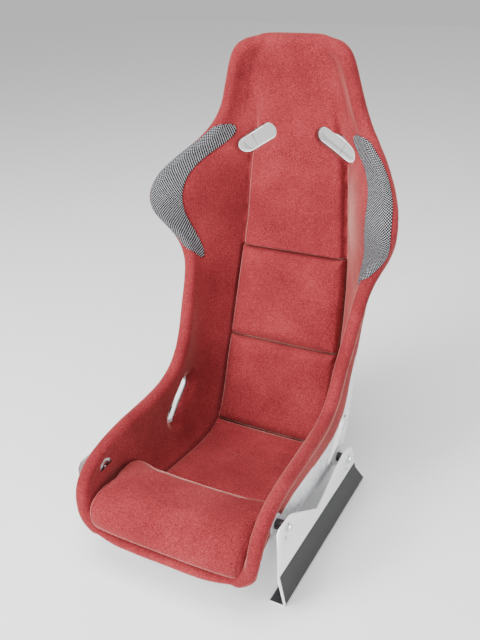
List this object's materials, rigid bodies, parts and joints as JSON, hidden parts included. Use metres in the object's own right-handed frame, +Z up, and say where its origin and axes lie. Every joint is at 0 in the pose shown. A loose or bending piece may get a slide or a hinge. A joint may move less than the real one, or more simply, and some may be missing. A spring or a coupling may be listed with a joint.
{
  "type": "fixed-back racing seat",
  "caption": "One-piece bucket seat with raised side bolsters, shoulder wings, belt slots and loose velour cushions, on low side brackets.",
  "frame": {"origin": "middle of the seat's box in X and Y, at the underside of the bracket flanges", "axes": "the seat faces -Y, +X is to the right of someone looking at its front, +Z is up"},
  "size_m": [0.5516, 0.6586, 0.9277],
  "materials": {
    "gelcoat": "glossy white gelcoat on glass-fibre laminate",
    "velour": "short-pile red velour with a pale sheen",
    "lining": "flat-knit red lining",
    "mesh": "woven black and silver netting",
    "hook": "black hook-and-loop tape",
    "black_trim": "satin black moulding",
    "bezel": "white moulding",
    "bracket": "light grey powder coat",
    "band": "black self-adhesive film",
    "zinc": "bright zinc plate",
    "steel": "machined steel"
  },
  "bodies": {
    "root": {"shell": "gelcoat", "side_bolster_left": "velour", "side_bolster_right": "velour", "head_pad": "velour", "front_lip": "velour", "centre_lining": "lining", "seat_cushion": "velour", "backrest_pad_lower": "velour", "backrest_pad_middle": "velour", "backrest_pad_upper": "velour", "thigh_cushion": "velour", "thigh_cushion_strip_left": "hook", "thigh_cushion_strip_right": "hook", "seat_cushion_strip_left": "hook", "seat_cushion_strip_right": "hook", "backrest_pad_lower_strip_left": "hook", "backrest_pad_lower_strip_right": "hook", "backrest_pad_middle_strip_left": "hook", "backrest_pad_middle_strip_right": "hook", "backrest_pad_upper_strip_left": "hook", "backrest_pad_upper_strip_right": "hook", "shoulder_mesh_left": "mesh", "belt_slot_trim_left": "bezel", "lap_slot_trim_left": "bezel", "lap_trim_screw_left_upper": "steel", "lap_trim_screw_left_lower": "steel", "side_bracket_left": "bracket", "bracket_band_left": "band", "washer_front_left": "zinc", "spacer_front_left": "black_trim", "threaded_insert_front_left": "zinc", "mounting_bolt_front_left": "zinc", "washer_rear_left": "zinc", "spacer_rear_left": "black_trim", "threaded_insert_rear_left": "zinc", "mounting_bolt_rear_left": "zinc", "shoulder_mesh_right": "mesh", "belt_slot_trim_right": "bezel", "lap_slot_trim_right": "bezel", "lap_trim_screw_right_upper": "steel", "lap_trim_screw_right_lower": "steel", "side_bracket_right": "bracket", "bracket_band_right": "band", "washer_front_right": "zinc", "spacer_front_right": "black_trim", "threaded_insert_front_right": "zinc", "mounting_bolt_front_right": "zinc", "washer_rear_right": "zinc", "spacer_rear_right": "black_trim", "threaded_insert_rear_right": "zinc", "mounting_bolt_rear_right": "zinc"}
  },
  "joints": []
}
